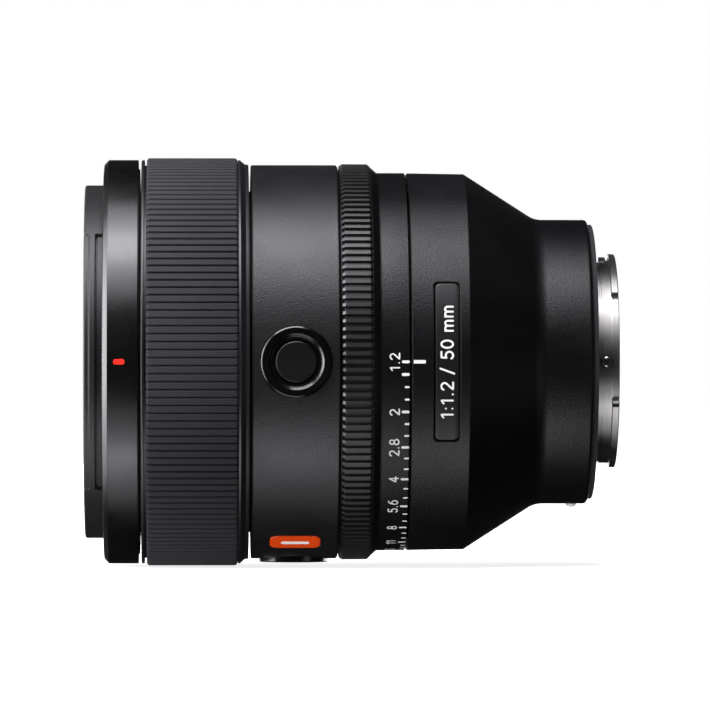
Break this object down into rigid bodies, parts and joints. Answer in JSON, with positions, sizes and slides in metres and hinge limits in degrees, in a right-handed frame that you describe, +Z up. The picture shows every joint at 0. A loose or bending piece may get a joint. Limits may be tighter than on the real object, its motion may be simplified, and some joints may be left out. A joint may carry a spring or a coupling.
{
  "type": "prime camera lens",
  "caption": "Bright fixed-focal-length autofocus camera lens with a free-turning focus ring, a clicked aperture ring that works the iris, push buttons and a steel bayonet mount.",
  "frame": {"origin": "centre of the mounting flange's face, on the optical axis", "axes": "+X along the optical axis from the front of the lens to the camera; -Y through the aperture index and the top focus hold button; +Z up, with the mount index dot on -Z"},
  "size_m": [0.113, 0.087, 0.087],
  "materials": {
    "barrel_paint": "satin black paint with a fine texture",
    "rim_paint": "matt black paint",
    "grip_rubber": "moulded rubber",
    "button_plastic": "fine textured black",
    "badge_enamel": "orange-red enamel",
    "dot_paint": "white, glossy",
    "chassis_metal": "black anodised",
    "frame_plastic": "glass-filled black",
    "optical_glass": "coated and polished",
    "mount_steel": "brushed",
    "blade_steel": "thin black coated steel",
    "contact_gold": "gold plated",
    "coil_copper": "enamelled copper wire",
    "board_resin": "green solder mask"
  },
  "bodies": {
    "barrel": {"front_ring": "barrel_paint", "mid_barrel": "barrel_paint", "rear_barrel": "barrel_paint", "filter_ring": "rim_paint", "name_ring": "rim_paint", "button_bezels": "rim_paint", "mount_gasket": "grip_rubber", "label_plate": "button_plastic", "rear_baffle": "button_plastic", "badge": "badge_enamel", "mount_index_dot": "dot_paint", "chassis_tube": "chassis_metal", "front_cell": "chassis_metal", "rear_cell": "chassis_metal", "iris_base": "chassis_metal", "iris_cover": "chassis_metal", "lens_1": "optical_glass", "lens_2": "optical_glass", "lens_3_4": "optical_glass", "lens_11_12": "optical_glass", "lens_13": "optical_glass", "lens_14": "optical_glass", "mount_plate": "mount_steel", "mount_screws": "mount_steel", "baffle_screws": "mount_steel", "guide_rods": "mount_steel", "focus_motor_stators": "mount_steel", "iris_motor": "mount_steel", "contact_pins": "contact_gold", "main_board": "board_resin"},
    "focus_ring": {"focus_ring": "barrel_paint", "focus_grip": "grip_rubber"},
    "aperture_ring": {"aperture_ring": "barrel_paint", "aperture_grip": "grip_rubber"},
    "focus_hold_button_top": {"focus_hold_button_top": "button_plastic"},
    "focus_hold_button_side": {"focus_hold_button_side": "button_plastic"},
    "af_mf_knob": {"af_mf_knob": "button_plastic"},
    "iris_lock_knob": {"iris_lock_knob": "button_plastic"},
    "click_knob": {"click_knob": "button_plastic"},
    "focus_group_front": {"focus_frame_front": "frame_plastic", "lens_5": "optical_glass", "lens_6_7": "optical_glass", "focus_coils_front": "coil_copper"},
    "focus_group_rear": {"focus_frame_rear": "frame_plastic", "lens_8_9": "optical_glass", "lens_10": "optical_glass", "focus_coils_rear": "coil_copper"},
    "iris_drive_ring": {"iris_drive_ring": "blade_steel"},
    "iris_pinion": {"iris_pinion": "contact_gold"},
    "iris_blade_1": {"iris_blade_1": "blade_steel"},
    "iris_blade_2": {"iris_blade_2": "blade_steel"},
    "iris_blade_3": {"iris_blade_3": "blade_steel"},
    "iris_blade_4": {"iris_blade_4": "blade_steel"},
    "iris_blade_5": {"iris_blade_5": "blade_steel"},
    "iris_blade_6": {"iris_blade_6": "blade_steel"},
    "iris_blade_7": {"iris_blade_7": "blade_steel"},
    "iris_blade_8": {"iris_blade_8": "blade_steel"},
    "iris_blade_9": {"iris_blade_9": "blade_steel"},
    "iris_blade_10": {"iris_blade_10": "blade_steel"},
    "iris_blade_11": {"iris_blade_11": "blade_steel"}
  },
  "joints": [
    {"name": "focus_ring_turn", "type": "hinge", "parent": "barrel", "child": "focus_ring", "pos_m": [-0.0848, 0, 0], "axis": [1, 0, 0], "continuous": true},
    {"name": "aperture_ring_turn", "type": "hinge", "parent": "barrel", "child": "aperture_ring", "pos_m": [-0.0475, 0, 0], "axis": [-1, 0, 0], "range_deg": [0, 95]},
    {"name": "focus_hold_top_press", "type": "slide", "parent": "barrel", "child": "focus_hold_button_top", "axis": [0, 1, 0], "range_m": [0, 0.0005], "stiffness_N_per_m": 1500, "springref_m": -0.0003},
    {"name": "focus_hold_side_press", "type": "slide", "parent": "barrel", "child": "focus_hold_button_side", "axis": [0, 0, 1], "range_m": [0, 0.0005], "stiffness_N_per_m": 1500, "springref_m": -0.0003},
    {"name": "af_mf_slide", "type": "slide", "parent": "barrel", "child": "af_mf_knob", "axis": [0, -0.8829, -0.4695], "range_m": [0, 0.0024]},
    {"name": "iris_lock_slide", "type": "slide", "parent": "barrel", "child": "iris_lock_knob", "axis": [0, 0.9703, -0.2419], "range_m": [0, 0.0024]},
    {"name": "click_slide", "type": "slide", "parent": "barrel", "child": "click_knob", "axis": [0, 0.829, -0.5592], "range_m": [0, 0.0024]},
    {"name": "focus_group_front_slide", "type": "slide", "parent": "barrel", "child": "focus_group_front", "axis": [-1, 0, 0], "range_m": [0, 0.0035]},
    {"name": "focus_group_rear_slide", "type": "slide", "parent": "barrel", "child": "focus_group_rear", "axis": [-1, 0, 0], "range_m": [0, 0.002]},
    {"name": "iris_drive_turn", "type": "hinge", "parent": "barrel", "child": "iris_drive_ring", "pos_m": [-0.0498, 0, 0], "axis": [-1, 0, 0], "range_deg": [0, 16]},
    {"name": "iris_pinion_turn", "type": "hinge", "parent": "barrel", "child": "iris_pinion", "pos_m": [-0.0505, -0.02702, 0.0156], "axis": [1, 0, 0], "range_deg": [0, 221.72]},
    {"name": "iris_blade_1_turn", "type": "hinge", "parent": "barrel", "child": "iris_blade_1", "pos_m": [-0.048, -0.025, 0], "axis": [1, 0, 0], "range_deg": [0, 35.6]},
    {"name": "iris_blade_2_turn", "type": "hinge", "parent": "barrel", "child": "iris_blade_2", "pos_m": [-0.048, -0.02103, -0.01352], "axis": [1, 0, 0], "range_deg": [0, 35.6]},
    {"name": "iris_blade_3_turn", "type": "hinge", "parent": "barrel", "child": "iris_blade_3", "pos_m": [-0.048, -0.01039, -0.02274], "axis": [1, 0, 0], "range_deg": [0, 35.6]},
    {"name": "iris_blade_4_turn", "type": "hinge", "parent": "barrel", "child": "iris_blade_4", "pos_m": [-0.048, 0.00356, -0.02475], "axis": [1, 0, 0], "range_deg": [0, 35.6]},
    {"name": "iris_blade_5_turn", "type": "hinge", "parent": "barrel", "child": "iris_blade_5", "pos_m": [-0.048, 0.01637, -0.01889], "axis": [1, 0, 0], "range_deg": [0, 35.6]},
    {"name": "iris_blade_6_turn", "type": "hinge", "parent": "barrel", "child": "iris_blade_6", "pos_m": [-0.048, 0.02399, -0.00704], "axis": [1, 0, 0], "range_deg": [0, 35.6]},
    {"name": "iris_blade_7_turn", "type": "hinge", "parent": "barrel", "child": "iris_blade_7", "pos_m": [-0.048, 0.02399, 0.00704], "axis": [1, 0, 0], "range_deg": [0, 35.6]},
    {"name": "iris_blade_8_turn", "type": "hinge", "parent": "barrel", "child": "iris_blade_8", "pos_m": [-0.048, 0.01637, 0.01889], "axis": [1, 0, 0], "range_deg": [0, 35.6]},
    {"name": "iris_blade_9_turn", "type": "hinge", "parent": "barrel", "child": "iris_blade_9", "pos_m": [-0.048, 0.00356, 0.02475], "axis": [1, 0, 0], "range_deg": [0, 35.6]},
    {"name": "iris_blade_10_turn", "type": "hinge", "parent": "barrel", "child": "iris_blade_10", "pos_m": [-0.048, -0.01039, 0.02274], "axis": [1, 0, 0], "range_deg": [0, 35.6]},
    {"name": "iris_blade_11_turn", "type": "hinge", "parent": "barrel", "child": "iris_blade_11", "pos_m": [-0.048, -0.02103, 0.01352], "axis": [1, 0, 0], "range_deg": [0, 35.6]}
  ],
  "couplings": [
    {"joint": "focus_group_rear_slide", "follows": "focus_group_front_slide", "ratio": 0.57143},
    {"joint": "iris_drive_turn", "follows": "aperture_ring_turn", "ratio": 0.16842},
    {"joint": "iris_pinion_turn", "follows": "aperture_ring_turn", "ratio": 2.3338},
    {"joint": "iris_blade_1_turn", "follows": "aperture_ring_turn", "ratio": 0.37474},
    {"joint": "iris_blade_2_turn", "follows": "aperture_ring_turn", "ratio": 0.37474},
    {"joint": "iris_blade_3_turn", "follows": "aperture_ring_turn", "ratio": 0.37474},
    {"joint": "iris_blade_4_turn", "follows": "aperture_ring_turn", "ratio": 0.37474},
    {"joint": "iris_blade_5_turn", "follows": "aperture_ring_turn", "ratio": 0.37474},
    {"joint": "iris_blade_6_turn", "follows": "aperture_ring_turn", "ratio": 0.37474},
    {"joint": "iris_blade_7_turn", "follows": "aperture_ring_turn", "ratio": 0.37474},
    {"joint": "iris_blade_8_turn", "follows": "aperture_ring_turn", "ratio": 0.37474},
    {"joint": "iris_blade_9_turn", "follows": "aperture_ring_turn", "ratio": 0.37474},
    {"joint": "iris_blade_10_turn", "follows": "aperture_ring_turn", "ratio": 0.37474},
    {"joint": "iris_blade_11_turn", "follows": "aperture_ring_turn", "ratio": 0.37474}
  ]
}
